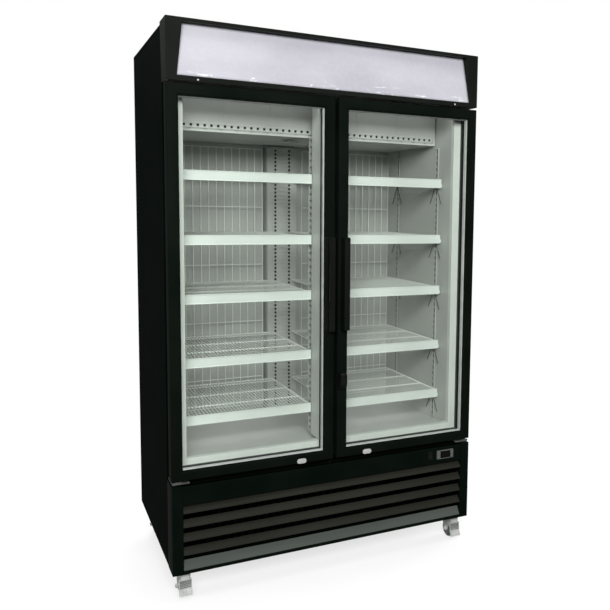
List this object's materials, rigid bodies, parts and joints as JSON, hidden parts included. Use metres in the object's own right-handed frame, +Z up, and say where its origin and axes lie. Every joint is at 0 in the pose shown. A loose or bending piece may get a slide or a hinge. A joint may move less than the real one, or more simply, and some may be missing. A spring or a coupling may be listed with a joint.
{
  "type": "glass door merchandiser",
  "caption": "Upright glass door merchandiser: a display refrigerator with swing doors, wire shelves, a light-box canopy, a louvred machine grille and swivel casters.",
  "frame": {"origin": "on the floor, under the centre of the whole footprint, door handles included", "axes": "+Z up, +Y from the doors towards the back, +X to the right as seen from the front"},
  "size_m": [1.22, 0.8, 2.034],
  "materials": {
    "case_paint": "satin",
    "door_paint": "satin",
    "liner_paint": "satin",
    "shelf_coating": "gloss",
    "sign_acrylic": "satin",
    "door_glass": "gloss",
    "gasket_rubber": "matte",
    "black_plastic": "satin",
    "key_plastic": "satin",
    "lock_chrome": "polished",
    "zinc_plate": "satin",
    "coil_fins": "satin",
    "compressor_enamel": "gloss",
    "lamp_tube": "gloss",
    "cord_rubber": "matte",
    "wheel_tread": "matte"
  },
  "bodies": {
    "cabinet": {"left_side_panel": "case_paint", "right_side_panel": "case_paint", "back_panel": "case_paint", "top_panel": "case_paint", "base_frame": "case_paint", "inner_liner": "liner_paint", "front_frame": "liner_paint", "rear_pilaster": "liner_paint", "left_front_shelf_standard": "liner_paint", "left_rear_shelf_standard": "liner_paint", "right_front_shelf_standard": "liner_paint", "right_rear_shelf_standard": "liner_paint", "left_shelf_1": "shelf_coating", "left_shelf_2": "shelf_coating", "left_shelf_3": "shelf_coating", "left_shelf_4": "shelf_coating", "left_shelf_5": "shelf_coating", "right_shelf_1": "shelf_coating", "right_shelf_2": "shelf_coating", "right_shelf_3": "shelf_coating", "right_shelf_4": "shelf_coating", "right_shelf_5": "shelf_coating", "evaporator_cover": "liner_paint", "evaporator_coil": "coil_fins", "condenser_coil": "coil_fins", "compressor": "compressor_enamel", "power_cord": "cord_rubber", "canopy_housing": "case_paint", "sign_panel": "sign_acrylic", "canopy_lamp": "lamp_tube", "grille_panel": "case_paint", "controller_body": "black_plastic", "left_hinge_bracket": "zinc_plate", "right_hinge_bracket": "zinc_plate"},
    "left_door": {"left_door_frame": "door_paint", "left_door_glass": "door_glass", "left_door_gasket": "gasket_rubber", "left_door_handle": "black_plastic"},
    "right_door": {"right_door_frame": "door_paint", "right_door_glass": "door_glass", "right_door_gasket": "gasket_rubber", "right_door_handle": "black_plastic", "hasp_block": "black_plastic"},
    "left_lock": {"left_door_lock": "lock_chrome"},
    "right_lock": {"right_door_lock": "lock_chrome"},
    "light_switch": {"light_switch": "black_plastic"},
    "controller_left_button": {"controller_left_button": "key_plastic"},
    "controller_right_button": {"controller_right_button": "key_plastic"},
    "evaporator_fan": {"evaporator_fan": "black_plastic"},
    "condenser_fan": {"condenser_fan": "black_plastic"},
    "front_left_fork": {"front_left_caster_fork": "zinc_plate"},
    "front_left_wheel": {"front_left_caster_wheel": "wheel_tread"},
    "front_left_pedal": {"front_left_brake_pedal": "zinc_plate"},
    "front_right_fork": {"front_right_caster_fork": "zinc_plate"},
    "front_right_wheel": {"front_right_caster_wheel": "wheel_tread"},
    "front_right_pedal": {"front_right_brake_pedal": "zinc_plate"},
    "rear_left_fork": {"rear_left_caster_fork": "zinc_plate"},
    "rear_left_wheel": {"rear_left_caster_wheel": "wheel_tread"},
    "rear_right_fork": {"rear_right_caster_fork": "zinc_plate"},
    "rear_right_wheel": {"rear_right_caster_wheel": "wheel_tread"}
  },
  "joints": [
    {"name": "left_door_swing", "type": "hinge", "parent": "cabinet", "child": "left_door", "pos_m": [-0.596, -0.336, 0.447], "axis": [0, 0, -1], "range_deg": [0, 110]},
    {"name": "right_door_swing", "type": "hinge", "parent": "cabinet", "child": "right_door", "pos_m": [0.596, -0.336, 0.447], "axis": [0, 0, 1], "range_deg": [0, 110]},
    {"name": "left_lock_turn", "type": "hinge", "parent": "left_door", "child": "left_lock", "pos_m": [-0.135, -0.36, 0.4565], "axis": [0, 1, 0], "range_deg": [0, 90]},
    {"name": "right_lock_turn", "type": "hinge", "parent": "right_door", "child": "right_lock", "pos_m": [0.135, -0.36, 0.4565], "axis": [0, 1, 0], "range_deg": [0, 90]},
    {"name": "light_switch_rock", "type": "hinge", "parent": "cabinet", "child": "light_switch", "pos_m": [0.4255, -0.355, 0.396], "axis": [1, 0, 0], "range_deg": [0, 10]},
    {"name": "controller_left_press", "type": "slide", "parent": "cabinet", "child": "controller_left_button", "axis": [0, 1, 0], "range_m": [0, 0.0012]},
    {"name": "controller_right_press", "type": "slide", "parent": "cabinet", "child": "controller_right_button", "axis": [0, 1, 0], "range_m": [0, 0.0012]},
    {"name": "evaporator_fan_spin", "type": "hinge", "parent": "cabinet", "child": "evaporator_fan", "pos_m": [0, -0.01, 1.715], "axis": [0, 0, 1], "continuous": true},
    {"name": "condenser_fan_spin", "type": "hinge", "parent": "cabinet", "child": "condenser_fan", "pos_m": [-0.18, -0.138, 0.27], "axis": [0, 1, 0], "continuous": true},
    {"name": "front_left_caster_swivel", "type": "hinge", "parent": "cabinet", "child": "front_left_fork", "pos_m": [-0.563, -0.274, 0.1], "axis": [0, 0, 1], "continuous": true},
    {"name": "front_left_wheel_spin", "type": "hinge", "parent": "front_left_fork", "child": "front_left_wheel", "pos_m": [-0.563, -0.292, 0.036], "axis": [1, 0, 0], "continuous": true},
    {"name": "front_left_brake_release", "type": "hinge", "parent": "front_left_fork", "child": "front_left_pedal", "pos_m": [-0.563, -0.326, 0.084], "axis": [-1, 0, 0], "range_deg": [0, 20]},
    {"name": "front_right_caster_swivel", "type": "hinge", "parent": "cabinet", "child": "front_right_fork", "pos_m": [0.563, -0.274, 0.1], "axis": [0, 0, 1], "continuous": true},
    {"name": "front_right_wheel_spin", "type": "hinge", "parent": "front_right_fork", "child": "front_right_wheel", "pos_m": [0.563, -0.292, 0.036], "axis": [1, 0, 0], "continuous": true},
    {"name": "front_right_brake_release", "type": "hinge", "parent": "front_right_fork", "child": "front_right_pedal", "pos_m": [0.563, -0.326, 0.084], "axis": [-1, 0, 0], "range_deg": [0, 20]},
    {"name": "rear_left_caster_swivel", "type": "hinge", "parent": "cabinet", "child": "rear_left_fork", "pos_m": [-0.563, 0.314, 0.1], "axis": [0, 0, 1], "continuous": true},
    {"name": "rear_left_wheel_spin", "type": "hinge", "parent": "rear_left_fork", "child": "rear_left_wheel", "pos_m": [-0.563, 0.296, 0.036], "axis": [1, 0, 0], "continuous": true},
    {"name": "rear_right_caster_swivel", "type": "hinge", "parent": "cabinet", "child": "rear_right_fork", "pos_m": [0.563, 0.314, 0.1], "axis": [0, 0, 1], "continuous": true},
    {"name": "rear_right_wheel_spin", "type": "hinge", "parent": "rear_right_fork", "child": "rear_right_wheel", "pos_m": [0.563, 0.296, 0.036], "axis": [1, 0, 0], "continuous": true}
  ]
}
